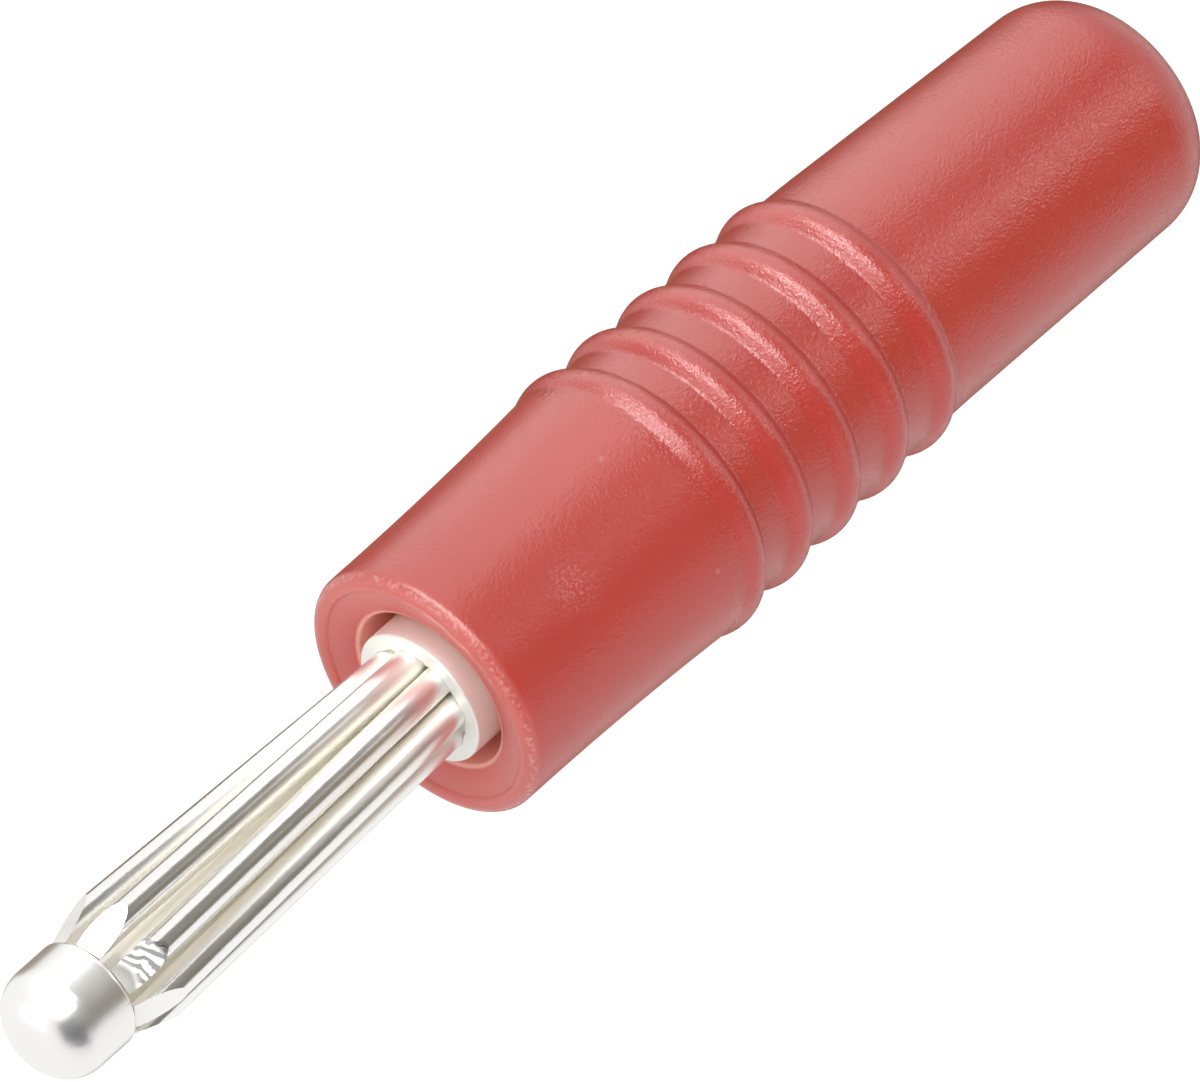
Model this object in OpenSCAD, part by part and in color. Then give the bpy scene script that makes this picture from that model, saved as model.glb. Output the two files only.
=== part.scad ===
// Banana plug with a bundle of spring wires for a 4 mm socket and a ribbed soft sleeve.
// The plug's axis is Z. The origin lies on that axis in the plane of the sleeve's front rim,
// the contact points up and the cable end points down. Lengths are in millimetres.

/* [Contact] */
// Distance from the sleeve's front rim to the tip of the head
contact_len = 15.61; // [12:0.01:20]
// Largest diameter across the spring wires
bundle_d = 4.04; // [3.9:0.01:4.2]
// Diameter of one spring wire
wire_d = 0.86; // [0.7:0.01:0.88]
// Gap between neighbouring wires at their feet
wire_gap = 0.03; // [0.02:0.01:0.06]
// Length of the wires' bevelled ends, measured along the plug
bevel_len = 1.55; // [1:0.05:2.2]
// Turn of the bundle from the cup to the head, in degrees
bundle_twist = 13.5; // [0:0.5:20]

/* [Core pin] */
// Diameter of the head
head_d = 3.29; // [3:0.01:3.6]
// Length of the head
head_len = 2.4; // [2:0.05:3]
// Rounding of the head's front edge
head_round = 1.15; // [0.6:0.05:1.4]
// Rounding of the head's back edge
head_back_round = 0.12; // [0.05:0.01:0.25]
// How far the head stands out over the wires' bevelled ends
head_overhang = 0.14; // [0.05:0.01:0.25]
// Depth of the shank in the body below the cup
shank_grip = 3.2; // [2:0.1:5]

/* [Contact body] */
// How far the cup's rim stands out of the sleeve
cup_proud = 0.06; // [0:0.01:0.3]
// Width of the cup's rim round the wires
cup_rim_w = 0.49; // [0.4:0.01:0.58]
// Depth of the cup inside its rim
cup_depth = 0.15; // [0.1:0.01:0.4]
// Depth of the wires' feet below the rim
foot_depth = 1.45; // [1:0.05:2]
// Length of the slim neck behind the cup's rim
neck_len = 2.4; // [1.6:0.1:4]
// Diameter of the thick part of the body
body_d = 4.8; // [4.6:0.05:5.2]
// Length of the body with its cup
body_len = 17.6; // [14:0.1:18.4]
// Chamfer at the ends of the thick part
body_chamfer = 0.25; // [0.1:0.05:0.4]
// Rounding of the cup's outer edge
cup_edge_round = 0.06; // [0.03:0.01:0.12]
// Diameter of the hole for the stripped wire
lead_hole_d = 2.0; // [1.6:0.1:2.2]
// Depth of the hole for the stripped wire
lead_hole_len = 7.5; // [6:0.1:8.5]
// Widening at the mouth of the hole for the stripped wire
lead_hole_chamfer = 0.3; // [0.1:0.05:0.5]

/* [Clamp screw] */
// Outside diameter of the clamp screw
screw_d = 2.0; // [1.6:0.1:2.6]
// Distance from the body's back end to the screw's axis
screw_place = 4.5; // [3.5:0.1:5.5]
// Depth of the screw's outer edge below the body's surface
screw_sink = 0.05; // [0.05:0.01:0.15]
// Width of the screwdriver slot
slot_w = 0.4; // [0.3:0.05:0.6]
// Depth of the screwdriver slot
slot_depth = 0.4; // [0.3:0.05:0.5]
// Chamfer at the screw's inner end
screw_chamfer = 0.2; // [0.1:0.05:0.3]

/* [Sleeve] */
// Length of the sleeve
sleeve_len = 29.3; // [27:0.01:32]
// Diameter of the sleeve's front
front_d = 7.8; // [7.4:0.05:8]
// Radius of the rounded rim
lip_round = 0.35; // [0.25:0.01:0.45]
// Width of the rim round the front face
rim_w = 0.54; // [0.4:0.01:0.65]
// Depth of the front face where it meets the rim
face_drop = 0.08; // [0.06:0.01:0.2]
// Depth of the front face where it meets the bore
dish_depth = 0.38; // [0.25:0.01:0.8]
// Length of the straight rim ahead of the flare
rim_len = 0.76; // [0.6:0.01:2]
// Rise of the flare from the rim to the first rib
flare_rise = 0.27; // [0.1:0.01:0.4]
// Diameter of the hole for the cable
cable_hole_d = 3.0; // [2.4:0.1:3.4]
// Width of the flat ring between the cable hole and the rounding of the back end
back_land = 0.05; // [0.05:0.05:0.6]

/* [Grip ribs] */
// Number of grip ribs
rib_count = 5; // [3:1:5]
// Distance from one rib to the next
rib_pitch = 2.035; // [1.7:0.005:2.2]
// Distance from the front rim to the middle of the first rib
rib_start = 8.89; // [8:0.01:10]
// Radius of a rib's rounded section
rib_r = 0.625; // [0.5:0.005:0.7]
// Height of the first rib over the flare
rib_rise = 0.115; // [0.06:0.005:0.25]
// How much lower the last rib is than the first
rib_fall = 0.195; // [0:0.005:0.25]
// Depth from the first rib's crest to the sleeve under it
root_depth = 0.325; // [0.25:0.005:0.45]
// How much the sleeve narrows under the ribs
root_fall = 0.13; // [0:0.01:0.2]
// How much the back barrel narrows from the ribs to its rounded end
barrel_fall = 0.19; // [0:0.01:0.3]

/* [Hidden] */
$fn = 96;
// Fineness of the flare's very large circle
flare_fn = 720;
wire_count = 8;
// Direction of the first wire at the rim, in degrees
wire_phase = 271;
// Extra length of cutting shapes past the faces they cut
over = 0.5;
// Clearances between pieces
slide_gap = 0.05;
seat_gap = 0.05;
thread_gap = 0.03;
foot_gap = 0.01;
press_gap = 0.005;
core_gap = 0.07;
lead_gap = 0.05;
// Chamfer round the cup's inner edge
cup_chamfer = 0.04;
// How far the holes for the wires cut into the cup's wall
cup_bite = 0.08;
// How far ahead of the first rib's crest the flare ends, inside the rib
rib_tuck = 0.11;
// The walls between the wires' feet end where they would be thin, at this share of a wire's radius past its middle
web_share = 0.32;
// The ribs fall quickly at first and then slowly, so their share of the fall is a power of the place
rib_fall_power = 0.6;

sleeve_red = [0.78, 0.24, 0.22];
silver_plate = [0.86, 0.86, 0.83];
screw_steel = [0.62, 0.62, 0.60];

wire_r = wire_d / 2;
wire_step = 360 / wire_count;
// The wires' feet stand on a circle that keeps neighbours a gap apart
floor_pitch_r = (wire_d + wire_gap) / (2 * sin(wire_step / 2));
head_z = contact_len - head_len;
wire_top_z = head_z - seat_gap;
bevel_z = wire_top_z - bevel_len;
bevel_pitch_r = bundle_d / 2 - wire_r;
foot_z = cup_proud - foot_depth;
wire_slope = (bevel_pitch_r - floor_pitch_r) / (bevel_z - foot_z);
rim_pitch_r = floor_pitch_r + wire_slope * foot_depth;
top_pitch_r = bevel_pitch_r + wire_slope * bevel_len;
foot_r = wire_r + foot_gap;
wire_run = polar(top_pitch_r, wire_phase - bundle_twist, wire_top_z) - polar(rim_pitch_r, wire_phase, cup_proud);
wire_lean = acos(wire_run[2] / norm(wire_run));
// A wire's square ends rise on one side as it leans
end_lift = wire_r * sin(wire_lean);
wire_foot = (foot_depth - end_lift) / cos(wire_lean);
wire_reach = norm(wire_run) - end_lift / cos(wire_lean);
cup_r = rim_pitch_r + foot_r - cup_bite;
neck_r = cup_r + cup_rim_w;
body_r = body_d / 2;
body_back_z = cup_proud - body_len;
head_r = head_d / 2;
bevel_angle = atan((bundle_d / 2 - head_r + head_overhang) / bevel_len);
shank_r = floor_pitch_r - wire_r - core_gap;
shank_back_z = foot_z - shank_grip;
lead_hole_r = lead_hole_d / 2;
screw_r = screw_d / 2;
screw_z = body_back_z + screw_place;
// The screw's flat end lies below the round body, so its edge sets its height
screw_outer_y = sqrt(pow(body_r, 2) - pow(screw_r, 2)) - screw_sink;
screw_len = screw_outer_y - lead_hole_r - lead_gap;
sleeve_bore_r = body_r + slide_gap;
sleeve_back_z = -sleeve_len;
front_r = front_d / 2;
flare_r = front_r + flare_rise;
flare_len = rib_start - rim_len;
rib_first_r = flare_r + rib_rise;
root_r = rib_first_r - root_depth;
barrel_front_r = root_r - root_fall;
barrel_back_r = barrel_front_r - barrel_fall;
cable_hole_r = cable_hole_d / 2;
back_round = barrel_back_r - cable_hole_r - back_land;
// Radius of the circle that is straight at the rim and has risen to the flare's size at the first rib
flare_circle_r = (pow(flare_len, 2) + pow(flare_rise, 2)) / (2 * flare_rise);
rib_end_z = -rib_start - rib_pitch * (rib_count - 0.5);

function polar(r, angle, z) = [r * cos(angle), r * sin(angle), z];
function rib_crest_r(i) = rib_first_r - rib_fall * pow(i / (rib_count - 1), rib_fall_power);

// What a rounding takes off a corner of a turned profile, from the middle of its arc outwards
module edge_cut(round) {
    difference() {
        square(round + over);
        circle(round);
    }
}

// Sleeve ahead of the first rib: a slow flare, a short straight and a rounded rim
module front_barrel() {
    rotate_extrude() translate([0, -rib_start]) difference() {
        translate([0, rib_tuck]) square([flare_r, rib_start - rib_tuck]);
        translate([front_r + flare_circle_r, flare_len]) circle(flare_circle_r, $fn = flare_fn);
        translate([front_r, flare_len]) square([flare_rise + over, rim_len + over]);
        translate([front_r - lip_round, rib_start - lip_round]) edge_cut(lip_round);
        difference() {
            translate([front_r - rim_w - over, rib_start - face_drop / 2]) square([rim_w - lip_round + over, over]);
            translate([front_r - lip_round, rib_start - lip_round]) circle(lip_round);
        }
    }
}

// Tapering core that runs under the ribs, with the back barrel and its rounded end
module back_barrel() {
    rotate_extrude() difference() {
        polygon([
            [0, rib_r - rib_start],
            [root_r, rib_r - rib_start],
            [root_r, -rib_start],
            [barrel_front_r, rib_end_z],
            [barrel_back_r, sleeve_back_z + back_round],
            [barrel_back_r, sleeve_back_z],
            [0, sleeve_back_z]
        ]);
        translate([barrel_back_r - back_round, sleeve_back_z + back_round]) mirror([0, 1]) edge_cut(back_round);
    }
}

// One rib, a round bead on the sleeve
module rib(i) {
    rotate_extrude() translate([rib_crest_r(i) - rib_r, -rib_start - rib_pitch * i]) circle(rib_r);
}

// Space inside the sleeve: the dished mouth, the bore for the body and the cable hole
module sleeve_hollow() {
    rotate_extrude() polygon([
        [0, over],
        [front_r - rim_w, over],
        [front_r - rim_w, -face_drop],
        [sleeve_bore_r, -dish_depth],
        [sleeve_bore_r, body_back_z - seat_gap],
        [cable_hole_r, body_back_z - seat_gap],
        [cable_hole_r, sleeve_back_z - over],
        [0, sleeve_back_z - over]
    ]);
}

module insulating_sleeve() {
    color(sleeve_red) difference() {
        union() {
            front_barrel();
            back_barrel();
            for (i = [0:rib_count - 1]) rib(i);
        }
        sleeve_hollow();
    }
}

// Turned body with the cup for the wires in front and the hole for the stripped wire behind
module contact_body() {
    color(silver_plate) difference() {
        rotate_extrude() difference() {
            polygon([
                [0, cup_proud],
                [neck_r, cup_proud],
                [neck_r, -neck_len],
                [body_r - body_chamfer, -neck_len],
                [body_r, -neck_len - body_chamfer],
                [body_r, body_back_z + body_chamfer],
                [body_r - body_chamfer, body_back_z],
                [0, body_back_z]
            ]);
            translate([neck_r - cup_edge_round, cup_proud - cup_edge_round]) edge_cut(cup_edge_round);
        }
        translate([0, 0, cup_proud - cup_depth]) cylinder(r = cup_r, h = cup_depth + over);
        translate([0, 0, cup_proud - cup_chamfer])
            cylinder(r1 = cup_r, r2 = cup_r + cup_chamfer + over, h = cup_chamfer + over);
        translate([0, 0, foot_z]) cylinder(r = floor_pitch_r + web_share * wire_r, h = foot_depth);
        for (i = [0:wire_count - 1]) wire_place(i) translate([0, 0, -foot_depth])
            cylinder(r = foot_r, h = 2 * foot_depth);
        translate([0, 0, shank_back_z - seat_gap]) cylinder(r = shank_r + press_gap, h = shank_grip + foot_depth);
        translate([0, 0, body_back_z - over]) cylinder(r = lead_hole_r, h = lead_hole_len + over);
        translate([0, 0, body_back_z - over])
            cylinder(r1 = lead_hole_r + lead_hole_chamfer + over, r2 = lead_hole_r, h = lead_hole_chamfer + over);
        translate([0, 0, screw_z]) rotate([-90, 0, 0]) cylinder(r = screw_r + thread_gap, h = body_r + over);
    }
}

// Riveted pin through the bundle, with the domed head in front of the wires
module core_pin() {
    color(silver_plate) union() {
        translate([0, 0, shank_back_z]) cylinder(r = shank_r, h = head_z - shank_back_z + head_len / 2);
        rotate_extrude() translate([0, head_z]) difference() {
            square([head_r, head_len]);
            translate([head_r - head_round, head_len - head_round]) edge_cut(head_round);
            translate([head_r - head_back_round, head_back_round]) mirror([0, 1]) edge_cut(head_back_round);
        }
    }
}

// Slotted screw without a head that presses the stripped wire in its hole
module clamp_screw() {
    color(screw_steel) translate([0, screw_outer_y - screw_len, screw_z]) rotate([-90, 0, 0]) difference() {
        union() {
            cylinder(r1 = screw_r - screw_chamfer, r2 = screw_r, h = screw_chamfer);
            translate([0, 0, screw_chamfer]) cylinder(r = screw_r, h = screw_len - screw_chamfer);
        }
        translate([-screw_r - over, -slot_w / 2, screw_len - slot_depth])
            cube([screw_d + 2 * over, slot_w, slot_depth + over]);
    }
}

// The place and lean of one wire, with the zero of its length in the rim's plane
module wire_place(i) {
    rim_point = polar(rim_pitch_r, wire_phase + wire_step * i, cup_proud);
    run = polar(top_pitch_r, wire_phase + wire_step * i - bundle_twist, wire_top_z) - rim_point;
    translate(rim_point) rotate([0, acos(run[2] / norm(run)), atan2(run[1], run[0])]) children();
}

// One straight wire that leans outward from the cup, with a flat bevel on its outer side under the head
module spring_wire(i) {
    color(silver_plate) difference() {
        wire_place(i) translate([0, 0, -wire_foot]) cylinder(r = wire_r, h = wire_foot + wire_reach);
        rotate([0, 0, wire_phase + wire_step * i - bundle_twist]) translate([bundle_d / 2, 0, bevel_z])
            rotate([0, -bevel_angle, 0]) translate([0, -wire_d, -bevel_len])
                cube([wire_d, 2 * wire_d, 3 * bevel_len]);
    }
}

insulating_sleeve();
contact_body();
core_pin();
clamp_screw();
spring_wire(0);  // spring_wire_1
spring_wire(1);  // spring_wire_2
spring_wire(2);  // spring_wire_3
spring_wire(3);  // spring_wire_4
spring_wire(4);  // spring_wire_5
spring_wire(5);  // spring_wire_6
spring_wire(6);  // spring_wire_7
spring_wire(7);  // spring_wire_8
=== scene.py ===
import math
import bpy
import bmesh
from mathutils import Matrix, Vector


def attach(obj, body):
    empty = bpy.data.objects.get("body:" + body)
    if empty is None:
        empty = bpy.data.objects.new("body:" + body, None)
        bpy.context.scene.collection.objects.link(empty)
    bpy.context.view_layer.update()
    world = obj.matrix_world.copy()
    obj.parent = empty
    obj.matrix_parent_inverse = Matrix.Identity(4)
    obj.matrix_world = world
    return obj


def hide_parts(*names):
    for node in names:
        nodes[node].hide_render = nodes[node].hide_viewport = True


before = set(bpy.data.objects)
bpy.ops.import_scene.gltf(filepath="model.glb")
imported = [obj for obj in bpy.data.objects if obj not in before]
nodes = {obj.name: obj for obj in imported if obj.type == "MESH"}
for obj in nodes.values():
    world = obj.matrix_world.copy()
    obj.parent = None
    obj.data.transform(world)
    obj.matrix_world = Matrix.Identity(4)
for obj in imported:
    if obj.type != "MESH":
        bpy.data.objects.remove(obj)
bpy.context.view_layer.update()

mm = 0.001
print("stage: frame loaded,", len(nodes), "nodes")


class Value:  # one output of a shader node; an expression on values adds its Math nodes
    def __init__(self, graph, socket):
        self.graph = graph
        self.socket = socket

    def maths(self, operation, other=0.0):
        return self.graph.node("ShaderNodeMath", {"operation": operation}, {0: self, 1: other})

    def swapped(self, operation, other):
        return self.graph.node("ShaderNodeMath", {"operation": operation}, {0: other, 1: self})

    def __add__(self, other):
        return self.maths("ADD", other)

    def __radd__(self, other):
        return self.maths("ADD", other)

    def __sub__(self, other):
        return self.maths("SUBTRACT", other)

    def __rsub__(self, other):
        return self.swapped("SUBTRACT", other)

    def __mul__(self, other):
        return self.maths("MULTIPLY", other)

    def __rmul__(self, other):
        return self.maths("MULTIPLY", other)

    def __pow__(self, other):
        return self.maths("POWER", other)

    def __abs__(self):
        return self.maths("ABSOLUTE")

    def step(self, low, high):  # 0 below low, 1 above high, smooth between
        return self.graph.node("ShaderNodeMapRange", {"interpolation_type": "SMOOTHSTEP"},
                               {"Value": self, "From Min": low, "From Max": high,
                                "To Min": 0.0, "To Max": 1.0})

    def band(self, middle, half, edge):  # 1 near middle, 0 further away than half
        return 1.0 - abs(self - middle).step(half - edge, half)


class Graph:  # a material with one Principled shader; places are object coordinates in metres
    def __init__(self, name):
        self.material = bpy.data.materials.new(name)
        self.material.use_nodes = True
        self.tree = self.material.node_tree
        self.tree.nodes.clear()
        self.shader = self.tree.nodes.new("ShaderNodeBsdfPrincipled")
        end = self.tree.nodes.new("ShaderNodeOutputMaterial")
        self.tree.links.new(self.shader.outputs[0], end.inputs[0])
        self.place = self.node("ShaderNodeTexCoord", {}, {}, out=3)
        split = self.node("ShaderNodeSeparateXYZ", {}, {0: self.place}).socket.node
        self.x, self.y, self.z = (Value(self, split.outputs[i]) for i in range(3))
        self.radius = (self.x * self.x + self.y * self.y) ** 0.5

    def plug(self, socket, value):
        if isinstance(value, Value):
            self.tree.links.new(value.socket, socket)
        elif socket.type == "RGBA" and len(value) == 3:
            socket.default_value = (*value, 1.0)
        else:
            socket.default_value = value

    def node(self, kind, settings, sockets, out=0):
        made = self.tree.nodes.new(kind)
        for key, value in settings.items():
            setattr(made, key, value)
        for key, value in sockets.items():
            self.plug(made.inputs[key], value)
        return Value(self, made.outputs[out])

    def set(self, **values):
        for key, value in values.items():
            self.plug(self.shader.inputs[key.replace("_", " ")], value)

    def stretched(self, across, along):  # places scaled across the plug and along it
        return self.node("ShaderNodeMapping", {"vector_type": "POINT"},
                         {"Vector": self.place, "Scale": (across, across, along)})

    def noise(self, vector, scale, detail=2.0, roughness=0.5):
        return self.node("ShaderNodeTexNoise", {"noise_dimensions": "3D"},
                         {"Vector": vector, "Scale": scale, "Detail": detail, "Roughness": roughness})

    def cells(self, scale):
        return self.node("ShaderNodeTexVoronoi", {"feature": "F1"}, {"Vector": self.place, "Scale": scale})

    def wave(self, vector, scale, distortion, direction="Z"):
        return self.node("ShaderNodeTexWave", {"bands_direction": direction},
                         {"Vector": vector, "Scale": scale, "Distortion": distortion,
                          "Detail": 3.0, "Detail Scale": 1.4}, out=1)

    def mix(self, factor, first, second):
        return self.node("ShaderNodeMix", {"data_type": "RGBA"}, {0: factor, 6: first, 7: second}, out=2)

    def bump(self, height, distance):
        return self.node("ShaderNodeBump", {}, {"Strength": 1.0, "Distance": distance, "Height": height})


# soft PVC of the sleeve: satin, slightly see-through, with the grain of a spark-eroded mould
pvc = {
    "red": (0.70, 0.070, 0.053),
    "deep": (0.61, 0.055, 0.040),
    # pale pink for specks and scratches, and for the painted highlights on the lip and the front barrel
    "scuffAndHighlight": (0.86, 0.40, 0.39),
    # paler pink of the front face, a painted sheen
    "paintedFaceSheen": (0.72, 0.19, 0.16),
    # paler red of the bore, a painted glow of the light that comes through the soft wall
    "bore": (1.0, 0.42, 0.34),
    "roughness": 0.28,
    "cloudScale": 230.0,  # all pattern scales are per metre
    "flowScale": 900.0,
    "grainScale": 12500.0,
    "coarseScale": 7000.0,
    "speckScale": 420.0,
    "scratchScale": 5200.0,
    "grainDepth": 0.014 * mm,
    "heldFrom": -7.6 * mm,  # fingers have polished the ribs and the back barrel
    "heldFully": -8.6 * mm,
    "faceRadius": 2.50 * mm,
    "lipHalf": 0.13 * mm,
    "lipRadius": 3.56 * mm,
    # a painted highlight spot on the front barrel: where it sits, its full core and its reach
    "spotHighlightAt": (-0.45 * mm, -3.97 * mm, -3.5 * mm),
    "spotHighlightCore": 0.2 * mm,
    "spotHighlightReach": 1.3 * mm,
    "seeThrough": 0.55,
    "lightReach": (1.0, 0.16, 0.08),
}


def makeSleevePvc():
    g = Graph("sleevePvc")
    cloud = g.noise(g.place, pvc["cloudScale"], 3.0, 0.6)
    flow = g.noise(g.stretched(1.0, 0.25), pvc["flowScale"])
    grain = g.noise(g.place, pvc["grainScale"], 2.0, 0.6)
    coarse = g.noise(g.place, pvc["coarseScale"], 1.0)
    specks = 1.0 - g.cells(pvc["speckScale"]).step(0.03, 0.06)
    scratches = g.noise(g.stretched(1.0, 0.06), pvc["scratchScale"], 1.0).step(0.76, 0.80)
    scratches = scratches * cloud.step(0.52, 0.62)
    held = 1.0 - g.z.step(pvc["heldFully"], pvc["heldFrom"])

    # painted highlights: the lip round the front face, paled in patches along its rounded edge and made
    # smoother there, and one mottled spot on the front barrel
    lip = g.z.band(-pvc["lipHalf"], pvc["lipHalf"], 0.09 * mm)
    lip = lip * g.radius.step(pvc["lipRadius"], pvc["lipRadius"] + 0.14 * mm)
    # a mottled paler spot on the front barrel, a painted highlight
    away = (g.x - pvc["spotHighlightAt"][0]) ** 2.0 + (g.y - pvc["spotHighlightAt"][1]) ** 2.0 + (g.z - pvc["spotHighlightAt"][2]) ** 2.0
    paintedSpotHighlight = (1.0 - (away ** 0.5).step(pvc["spotHighlightCore"], pvc["spotHighlightReach"])) * grain.step(0.48, 0.60)
    paintedHighlights = 0.60 * lip * coarse.step(0.36, 0.70) + 0.40 * paintedSpotHighlight

    # painted light: the front face painted paler as a painted sheen, and the bore painted paler as a painted
    # glow of the light that comes through the soft wall
    face = g.z.step(-0.42 * mm, -0.16 * mm)
    face = face * g.radius.step(pvc["faceRadius"], pvc["faceRadius"] + 0.10 * mm)
    inside = 1.0 - g.radius.step(pvc["faceRadius"], pvc["faceRadius"] + 0.12 * mm)
    inside = inside * (1.0 - g.z.step(-0.36 * mm, -0.28 * mm))

    body = g.mix(0.75 * cloud + 0.25 * flow, pvc["deep"], pvc["red"])
    # the bore painted paler, a painted glow of light through the wall
    body = g.mix(inside, body, pvc["bore"])
    # the front face painted paler, a painted sheen
    body = g.mix(0.65 * face, body, pvc["paintedFaceSheen"])
    # pale specks and scratches, and the painted highlights on the lip and the front barrel
    g.set(Base_Color=g.mix((specks * 0.3 + scratches * 0.5 + paintedHighlights).step(0.0, 1.0), body, pvc["scuffAndHighlight"]))
    g.set(Roughness=pvc["roughness"] + 0.08 * coarse + 0.15 * scratches - 0.12 * lip - 0.11 * held)
    g.set(Normal=g.bump(grain * (1.0 + 0.8 * held) + 0.8 * coarse, pvc["grainDepth"]))
    g.set(Subsurface_Weight=pvc["seeThrough"], Subsurface_Radius=pvc["lightReach"])
    g.set(Subsurface_Scale=1.0 * mm, IOR=1.5, Specular_IOR_Level=0.8)
    return g.material


# silver plate on the wires, the pin's head and the body
silver = {
    "bright": (0.925, 0.915, 0.895),
    "cream": (0.965, 0.945, 0.885),
    "dull": (0.36, 0.35, 0.35),
    "cut": (0.985, 0.98, 0.97),
    "head": (0.90, 0.89, 0.87),
    "lineScale": 9000.0,  # lines of the drawing die on the wires, and of the lathe on head and body
    "wireLineDepth": 0.0055 * mm,
    "headLineDepth": 0.005 * mm,
    "bodyLineDepth": 0.003 * mm,
    "innerFrom": 1.35 * mm,  # creamy inside this radius, where the wires face each other
    "innerTo": 1.85 * mm,
}
gouges = {"middle": 12.35 * mm, "half": 0.75 * mm, "scale": 1300.0, "tilt": 0.45, "cutFrom": 11.75 * mm}


def makeWireSilver(name, scratched=False):
    g = Graph(name)
    drawn = g.noise(g.stretched(1.0, 0.07), silver["lineScale"], 3.0, 0.6)
    pits = g.noise(g.stretched(1.0, 0.4), 14000.0, 2.0, 0.6)
    cloud = g.noise(g.place, 800.0, 3.0, 0.6)
    inner = 1.0 - g.radius.step(silver["innerFrom"], silver["innerTo"])
    creamy = (0.9 * inner + 0.2 * cloud.step(0.45, 0.75)).step(0.0, 1.0)
    colour = g.mix(creamy, silver["bright"], silver["cream"])
    height = (0.5 * drawn + 0.5 * pits) * (1.0 - 0.9 * inner)
    rough = 0.13 + 0.10 * drawn + 0.06 * cloud + 0.34 * inner
    if scratched:  # the bevel of this wire is roughly cut, and a tool has left marks across it
        tilted = g.node("ShaderNodeMapping", {"vector_type": "POINT"},
                        {"Vector": g.place, "Rotation": (0.0, gouges["tilt"], 0.0)})
        gouge = g.wave(tilted, gouges["scale"], 7.0).step(0.50, 0.75)
        gouge = gouge * g.z.band(gouges["middle"], gouges["half"], 0.25 * mm)
        gouge = gouge * g.radius.step(1.62 * mm, 1.70 * mm)
        cut = g.z.step(gouges["cutFrom"], gouges["cutFrom"] + 0.20 * mm)
        cut = cut * g.radius.step(1.60 * mm, 1.68 * mm)
        colour = g.mix(0.85 * gouge, g.mix(cut, colour, silver["cut"]), silver["dull"])
        height = height - 2.2 * gouge
        rough = rough + 0.45 * cut
    g.set(Base_Color=colour, Metallic=1.0 - 0.2 * inner, Roughness=rough)
    g.set(Normal=g.bump(height, silver["wireLineDepth"]))
    return g.material


def makeHeadSilver():
    g = Graph("headSilver")
    turned = g.noise(g.stretched(0.10, 1.0), silver["lineScale"], 3.0, 0.6)
    brushed = g.noise(g.place, 5200.0, 3.0, 0.65)
    cloud = g.noise(g.place, 650.0, 3.0, 0.6)
    dome = g.z.step(14.3 * mm, 14.9 * mm)
    nicks = g.noise(g.stretched(1.0, 0.2), 3300.0, 2.0, 0.6).step(0.70, 0.76)
    shank = 1.0 - g.z.step(12.0 * mm, 12.3 * mm)  # creamy like the wires' inner sides
    creamy = (0.25 * cloud.step(0.4, 0.75) + 0.3 * nicks + shank).step(0.0, 1.0)
    g.set(Base_Color=g.mix(creamy, silver["head"], silver["cream"]), Metallic=1.0 - 0.2 * shank)
    g.set(Roughness=0.28 + 0.02 * dome + 0.08 * cloud + 0.25 * shank)
    g.set(Normal=g.bump(0.5 * turned * (1.0 - dome) + 0.6 * brushed - 0.8 * nicks, silver["headLineDepth"]))
    return g.material


def makeBodySilver():
    g = Graph("bodySilver")
    turned = g.noise(g.stretched(0.08, 1.0), silver["lineScale"], 3.0, 0.6)
    cloud = g.noise(g.place, 900.0, 3.0, 0.6)
    cup = g.z.step(-2.2 * mm, -1.4 * mm)
    creamy = (0.6 * cloud.step(0.35, 0.7) + 0.4 * cup).step(0.0, 1.0)
    g.set(Base_Color=g.mix(creamy, silver["bright"], silver["cream"]))
    g.set(Metallic=1.0 - 0.6 * cup, Roughness=0.20 + 0.25 * cup + 0.08 * cloud)
    g.set(Normal=g.bump(turned, silver["bodyLineDepth"]))
    return g.material


steel = {
    "dark": (0.50, 0.49, 0.47),
    "light": (0.66, 0.66, 0.64),
    "threadScale": 1900.0,
    "threadDepth": 0.02 * mm,
}


def makeScrewSteel():
    g = Graph("screwSteel")
    cloud = g.noise(g.place, 1500.0, 3.0, 0.6)
    thread = g.wave(g.place, steel["threadScale"], 0.2, "Y")  # the thread's lines round the screw
    oil = g.noise(g.place, 700.0).step(0.55, 0.7)
    g.set(Base_Color=g.mix(cloud, steel["dark"], steel["light"]), Metallic=1.0)
    g.set(Roughness=0.26 + 0.15 * cloud - 0.08 * oil, Normal=g.bump(thread, steel["threadDepth"]))
    return g.material


finishes = {
    "core_pin": makeHeadSilver(),
    "contact_body": makeBodySilver(),
    "clamp_screw": makeScrewSteel(),
    "spring_wire_1": makeWireSilver("wireSilverScratched", True),
}
wireSilver = makeWireSilver("wireSilver")
sleevePvc = makeSleevePvc()
finishes["insulating_sleeve"] = sleevePvc
for name, node in nodes.items():
    for slot in node.material_slots:
        slot.material = finishes.get(name, wireSilver)
print("stage: materials")


# the moulded sleeve, turned round the plug's axis; lengths in mm, places behind the front rim
sleeve = {
    "length": 29.24, "turns": 176,
    "front": 3.90, "straight": 0.76, "flare": 0.27,
    "lip": 0.35, "lipSteps": 22, "rimWidth": 0.54, "faceDrop": 0.08, "step": 0.05, "dish": 0.38,
    "bore": 2.45, "boreEnd": 17.59, "hole": 1.50,
    "ribStart": 8.89, "ribPitch": 2.035, "ribs": 5, "ribRadius": 0.625,
    "crest": 4.28, "crestFall": 0.195, "crestCurve": 0.6, "fillet": 0.16,
    "root": 3.96, "barrel": 3.83, "barrelEnd": 3.64, "land": 0.05, "endSteps": 24,
    "row": 0.12, "ribRow": 0.055, "ribMargin": 0.85,
    "bend": 2.1, "bendAt": 17.7, "bendLength": 1.6, "bendSteps": 4,
}
backRound = sleeve["barrelEnd"] - sleeve["hole"] - sleeve["land"]


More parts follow.
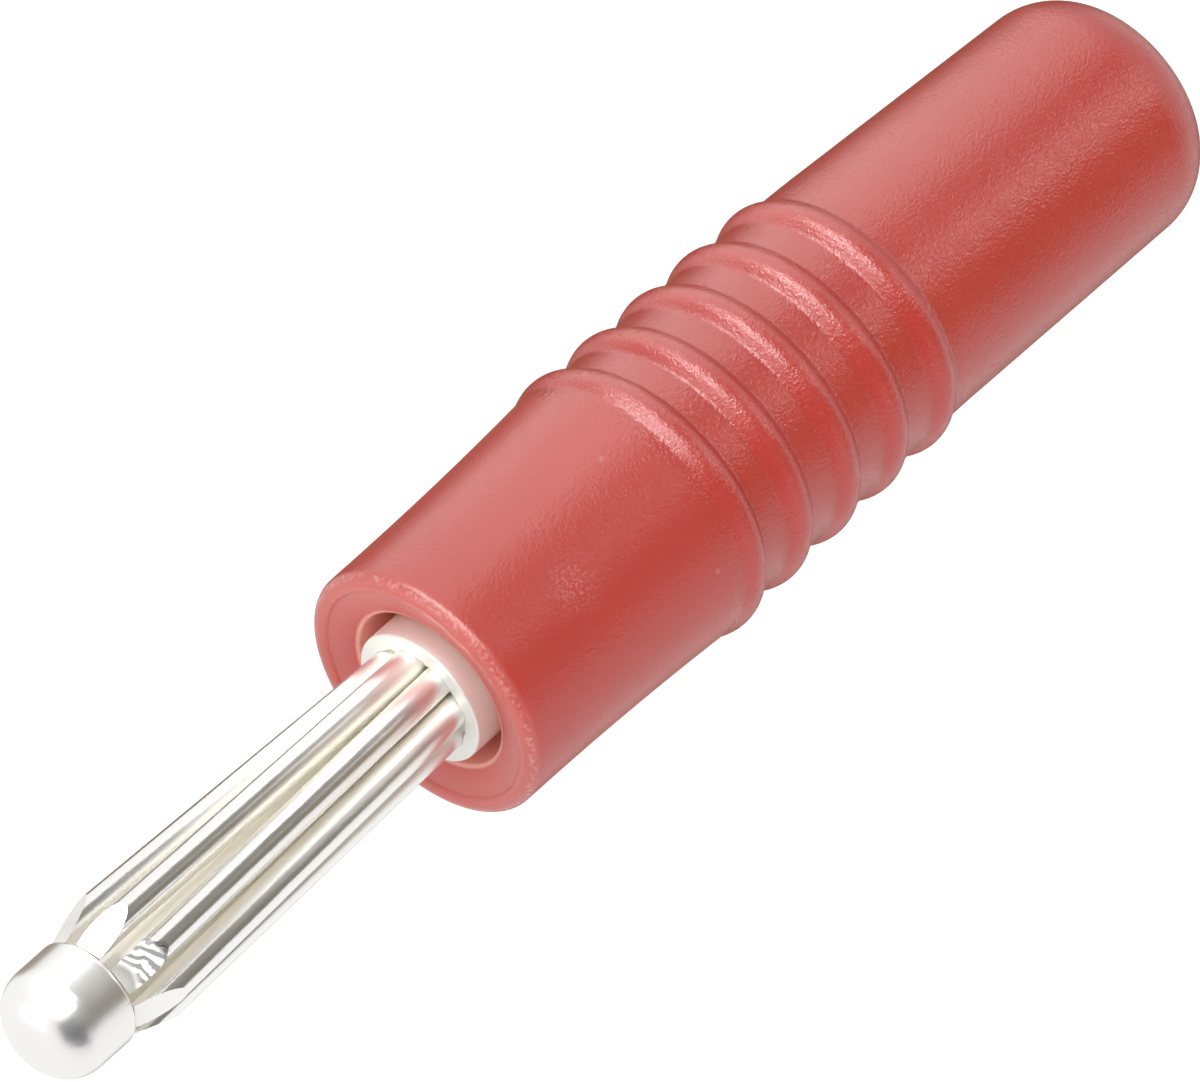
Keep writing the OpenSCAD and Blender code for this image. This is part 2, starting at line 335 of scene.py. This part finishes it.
def barrelRadius(s):
    ribStart = sleeve["ribStart"]
    ribEnd = ribStart + sleeve["ribPitch"] * (sleeve["ribs"] - 0.5)
    if s < ribStart:
        run = ribStart - sleeve["straight"]
        circle = (run ** 2 + sleeve["flare"] ** 2) / (2 * sleeve["flare"])
        return sleeve["front"] + circle - math.sqrt(circle ** 2 - max(0.0, s - sleeve["straight"]) ** 2)
    if s < ribEnd:
        return sleeve["root"] + (sleeve["barrel"] - sleeve["root"]) * (s - ribStart) / (ribEnd - ribStart)
    share = (s - ribEnd) / (sleeve["length"] - backRound - ribEnd)
    return sleeve["barrel"] + (sleeve["barrelEnd"] - sleeve["barrel"]) * min(1.0, share)


def outerRadius(s):
    r = barrelRadius(s)
    for i in range(sleeve["ribs"]):
        away = s - sleeve["ribStart"] - sleeve["ribPitch"] * i
        if abs(away) < sleeve["ribRadius"]:
            crest = sleeve["crest"] - sleeve["crestFall"] * (i / (sleeve["ribs"] - 1)) ** sleeve["crestCurve"]
            bead = crest - sleeve["ribRadius"] + math.sqrt(sleeve["ribRadius"] ** 2 - away ** 2)
            # a small fillet where the bead meets the barrel, never above the crest
            blend = max(0.0, sleeve["fillet"] - abs(bead - r))
            r = min(crest, max(bead, r) + blend ** 2 / (4 * sleeve["fillet"]))
    return r


def sleeveProfile():
    bore, front, lip, dish = sleeve["bore"], sleeve["front"], sleeve["lip"], sleeve["dish"]

    # up the bore, with a soft edge, then over the dished face
    points = [(bore, s) for s in (sleeve["boreEnd"], 12.0, 6.0, 2.0)]
    points += [(bore, dish + 0.06), (bore + 0.02, dish + 0.015), (bore + 0.07, dish - 0.02)]
    dishEdge = front - sleeve["rimWidth"]
    dishRise = sleeve["faceDrop"] + sleeve["step"] - dish
    points += [(bore + (dishEdge - bore) * k, dish + dishRise * k) for k in (0.3, 0.6, 0.9, 0.98)]

    # round the lip
    start = math.acos((dishEdge + 0.03 - (front - lip)) / lip)
    for k in range(sleeve["lipSteps"] + 1):
        turn = start * (1 - k / sleeve["lipSteps"])
        points.append((front - lip + lip * math.cos(turn), lip - lip * math.sin(turn)))

    # down the barrel and its ribs
    s = sleeve["straight"]
    ribsFrom = sleeve["ribStart"] - sleeve["ribMargin"]
    ribsTo = sleeve["ribStart"] + sleeve["ribPitch"] * (sleeve["ribs"] - 1) + sleeve["ribMargin"]
    while s < sleeve["length"] - backRound - 0.01:
        points.append((outerRadius(s), s))
        s += sleeve["ribRow"] if ribsFrom < s < ribsTo else sleeve["row"]

    # round the back end and into the cable hole
    for k in range(sleeve["endSteps"] + 1):
        turn = math.radians(90 * k / sleeve["endSteps"])
        points.append((sleeve["barrelEnd"] - backRound + backRound * math.cos(turn),
                       sleeve["length"] - backRound + backRound * math.sin(turn)))
    hole, end = sleeve["hole"], sleeve["length"]
    points += [(hole + 0.02, end - 0.01), (hole, end - 0.05)]
    points += [(hole, end - 3.0 * k) for k in (1, 2, 3)]
    points.append((hole, sleeve["boreEnd"]))
    return points


def turnedPiece(name, points, steps):  # points are (radius, distance behind the rim) in mm
    bpy.ops.object.select_all(action="DESELECT")
    bpy.ops.mesh.primitive_plane_add(size=mm, location=(0, 0, 0))
    piece = bpy.context.object
    piece.name = piece.data.name = name
    bpy.ops.object.mode_set(mode="EDIT")
    bpy.ops.mesh.select_all(action="SELECT")
    bpy.ops.mesh.merge(type="CENTER")
    bpy.ops.transform.translate(value=(points[0][0] * mm, 0, -points[0][1] * mm))
    for before, after in zip(points, points[1:] + points[:1]):
        move = ((after[0] - before[0]) * mm, 0, (before[1] - after[1]) * mm)
        bpy.ops.mesh.extrude_region_move(TRANSFORM_OT_translate={"value": move})
    bpy.ops.mesh.select_all(action="SELECT")
    bpy.ops.mesh.remove_doubles(threshold=0.0002 * mm)
    bpy.ops.mesh.spin(steps=steps, angle=2 * math.pi, center=(0, 0, 0), axis=(0, 0, 1))
    bpy.ops.mesh.select_all(action="SELECT")
    bpy.ops.mesh.remove_doubles(threshold=0.002 * mm)
    bpy.ops.mesh.normals_make_consistent(inside=False)
    bpy.ops.object.mode_set(mode="OBJECT")
    return piece


def bendBack(piece):  # the soft back barrel hangs a little to one side
    bpy.ops.object.mode_set(mode="EDIT")
    mesh = bmesh.from_edit_mesh(piece.data)
    angle = math.radians(-sleeve["bend"] / sleeve["bendSteps"])
    for k in range(sleeve["bendSteps"]):
        z = -(sleeve["bendAt"] + sleeve["bendLength"] * k / sleeve["bendSteps"]) * mm
        for vertex in mesh.verts:
            vertex.select_set(vertex.co.z < z)
        mesh.select_flush_mode()
        bmesh.update_edit_mesh(piece.data)
        bpy.ops.transform.rotate(value=angle, orient_axis="Y", orient_type="GLOBAL",
                                 center_override=(0, 0, z))
    bpy.ops.mesh.select_all(action="DESELECT")
    bpy.ops.object.mode_set(mode="OBJECT")


softSleeve = turnedPiece("softSleeve", sleeveProfile(), sleeve["turns"])
bendBack(softSleeve)
bpy.ops.object.shade_smooth_by_angle(angle=math.radians(40))
softSleeve.data.materials.append(sleevePvc)
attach(softSleeve, "sleeve")
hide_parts("insulating_sleeve")
print("stage: sleeve,", len(softSleeve.data.polygons), "faces")


# studio: directions are azimuth and elevation in degrees as seen from the plug
def toward(azimuth, elevation):
    a = math.radians(azimuth)
    e = math.radians(elevation)
    return Vector((math.cos(e) * math.cos(a), math.cos(e) * math.sin(a), math.sin(e)))


middle = Vector((0, 0, -7 * mm))
white = (1, 1, 1)
# a soft lamp lights the plug's surfaces, and a seen one shows in its reflections
lamps = {
    "sidePanel": {"at": (-14, -44), "facing": (-14, 0), "far": 0.0287, "size": (0.040, 0.036),
                  "radiance": 1.15, "colour": (1, 0.99, 0.98), "soft": False, "seen": True},
    "rimStrip": {"at": (-58, 5), "facing": (-58, 5), "far": 0.18, "size": (0.28, 0.036),
                 "radiance": 12.0, "colour": white, "soft": False, "seen": True},
    "mainSoftbox": {"at": (-62, 26), "facing": (-62, 26), "far": 0.35, "size": (0.30, 0.30),
                    "radiance": 1.6, "colour": white, "soft": True, "seen": True},
    "frontSoftbox": {"at": (-125, 50), "facing": (-125, 50), "far": 0.30, "size": (0.20, 0.20),
                     "radiance": 1.3, "colour": white, "soft": True, "seen": False},
    "tipSoftbox": {"at": (20, 68), "facing": (20, 68), "far": 0.30, "size": (0.11, 0.11),
                   "radiance": 1.4, "colour": white, "soft": True, "seen": True},
    "lowStrip": {"at": (-101, -44), "facing": (-101, -44), "far": 0.068, "size": (0.007, 0.030),
                 "radiance": 6.5, "colour": white, "soft": False, "seen": True},
}


def addLamp(name, spec):
    light = bpy.data.lights.new(name, "AREA")
    light.shape = "RECTANGLE"
    light.size, light.size_y = spec["size"]
    light.energy = spec["radiance"] * math.pi * light.size * light.size_y
    light.color = spec["colour"]
    lamp = bpy.data.objects.new(name, light)
    bpy.context.scene.collection.objects.link(lamp)
    lamp.rotation_mode = "QUATERNION"
    lamp.location = middle + toward(*spec["at"]) * spec["far"]
    lamp.rotation_quaternion = toward(*spec["facing"]).to_track_quat("Z", "Y")
    lamp.visible_camera = False
    lamp.visible_diffuse = spec["soft"]
    lamp.visible_glossy = spec["seen"]


for name, spec in lamps.items():
    addLamp(name, spec)

# upright curved cards round the plug's axis, which only reflections see
cards = {
    "darkCard": {"azimuth": (-146, -55), "far": 0.20, "low": -0.210, "high": 0.035,
                 "colour": (0.20, 0.188, 0.165)},
    "greyCard": {"azimuth": (-166, -94), "far": 0.20, "low": 0.030, "high": 0.450,
                 "colour": (0.12, 0.12, 0.13)},
    "backCard": {"azimuth": (32, 116), "far": 0.20, "low": -0.300, "high": -0.050,
                 "colour": (0.22, 0.16, 0.11)},
    "warmCard": {"azimuth": (-168, -110), "far": 0.06, "low": -0.090, "high": -0.038,
                 "colour": (0.34, 0.22, 0.06)},
}


def addCard(name, spec):
    bpy.ops.object.select_all(action="DESELECT")
    bpy.ops.mesh.primitive_grid_add(x_subdivisions=14, y_subdivisions=4, size=2.0)
    card = bpy.context.object
    card.name = card.data.name = name
    first, last = spec["azimuth"]
    for vertex in card.data.vertices:
        u = (vertex.co.x + 1) / 2
        v = (vertex.co.y + 1) / 2
        way = toward(first + (last - first) * u, 0) * spec["far"]
        vertex.co = (way.x, way.y, spec["low"] + (spec["high"] - spec["low"]) * v)
    g = Graph(name)
    g.set(Base_Color=(0, 0, 0), Roughness=1.0, Specular_IOR_Level=0.0)
    g.set(Emission_Color=spec["colour"], Emission_Strength=1.0)
    card.data.materials.append(g.material)
    card.visible_camera = card.visible_diffuse = False
    card.visible_shadow = card.visible_transmission = False


for name, spec in cards.items():
    addCard(name, spec)

# pale floor below the sleeve's furthest travel, which lets the light from below through
floorPlan = {"z": -56 * mm, "width": 4.0, "colour": (0.86, 0.86, 0.86), "glow": 0.50}
bpy.ops.object.select_all(action="DESELECT")
bpy.ops.mesh.primitive_plane_add(size=floorPlan["width"], location=(0, 0, 0))
floor = bpy.context.object
floor.name = floor.data.name = "studioFloor"
bpy.ops.object.mode_set(mode="EDIT")
bpy.ops.mesh.select_all(action="SELECT")
bpy.ops.transform.translate(value=(0, 0, floorPlan["z"]))
bpy.ops.object.mode_set(mode="OBJECT")
floorLook = Graph("studioFloor")
cameraRay = floorLook.node("ShaderNodeLightPath", {}, {})
floorLook.set(Base_Color=floorPlan["colour"], Roughness=1.0, Specular_IOR_Level=0.0)
floorLook.set(Emission_Color=white, Emission_Strength=cameraRay * floorPlan["glow"])
floor.data.materials.append(floorLook.material)
floor.visible_glossy = floor.visible_diffuse = False
floor.visible_shadow = floor.visible_transmission = False

# white surroundings, at full strength for the camera and for reflections, and softer as light
surroundings = {"light": 0.50, "seen": 1.0}
world = bpy.data.worlds.new("studio")
bpy.context.scene.world = world
world.use_nodes = True
tree = world.node_tree
background = tree.nodes["Background"]
background.inputs[0].default_value = (1, 1, 1, 1)
rays = tree.nodes.new("ShaderNodeLightPath")
seen = tree.nodes.new("ShaderNodeMath")
seen.operation = "MAXIMUM"
tree.links.new(rays.outputs["Is Camera Ray"], seen.inputs[0])
tree.links.new(rays.outputs["Is Glossy Ray"], seen.inputs[1])
alsoThrough = tree.nodes.new("ShaderNodeMath")
alsoThrough.operation = "MAXIMUM"
tree.links.new(seen.outputs[0], alsoThrough.inputs[0])
tree.links.new(rays.outputs["Is Transmission Ray"], alsoThrough.inputs[1])
strength = tree.nodes.new("ShaderNodeMix")
tree.links.new(alsoThrough.outputs[0], strength.inputs[0])
strength.inputs[2].default_value = surroundings["light"]
strength.inputs[3].default_value = surroundings["seen"]
tree.links.new(strength.outputs[0], background.inputs[1])
bpy.context.scene.cycles.glossy_bounces = 12  # light goes to and fro between the wires

# camera at the photograph's angle: it looks down on the plug and is turned, so the plug lies aslant
view = {"lens": 564.0, "distance": 0.5, "elevation": 30.0, "turn": 41.7, "aim": (-0.07 * mm, 0, -7.258 * mm)}
cam = bpy.data.cameras.new("camera")
camera = bpy.data.objects.new("camera", cam)
bpy.context.scene.collection.objects.link(camera)
bpy.context.scene.camera = camera
cam.lens = view["lens"]
cam.sensor_width = 36.0
cam.sensor_fit = "HORIZONTAL"
cam.dof.use_dof = False
cam.clip_start = 0.01
cam.clip_end = 10.0
rise = math.radians(view["elevation"])
turn = math.radians(view["turn"])
forward = Vector((0, math.cos(rise), -math.sin(rise)))
rear = Vector((0, -math.sin(rise), -math.cos(rise)))
side = Vector((-1, 0, 0))
right = rear * math.cos(turn) + side * math.sin(turn)
up = rear * math.sin(turn) - side * math.cos(turn)
stand = Matrix.Translation(Vector(view["aim"]) - forward * view["distance"])
camera.matrix_world = stand @ Matrix((right, up, -forward)).transposed().to_4x4()
bpy.context.scene.view_settings.view_transform = "Standard"
print("stage: studio and camera")
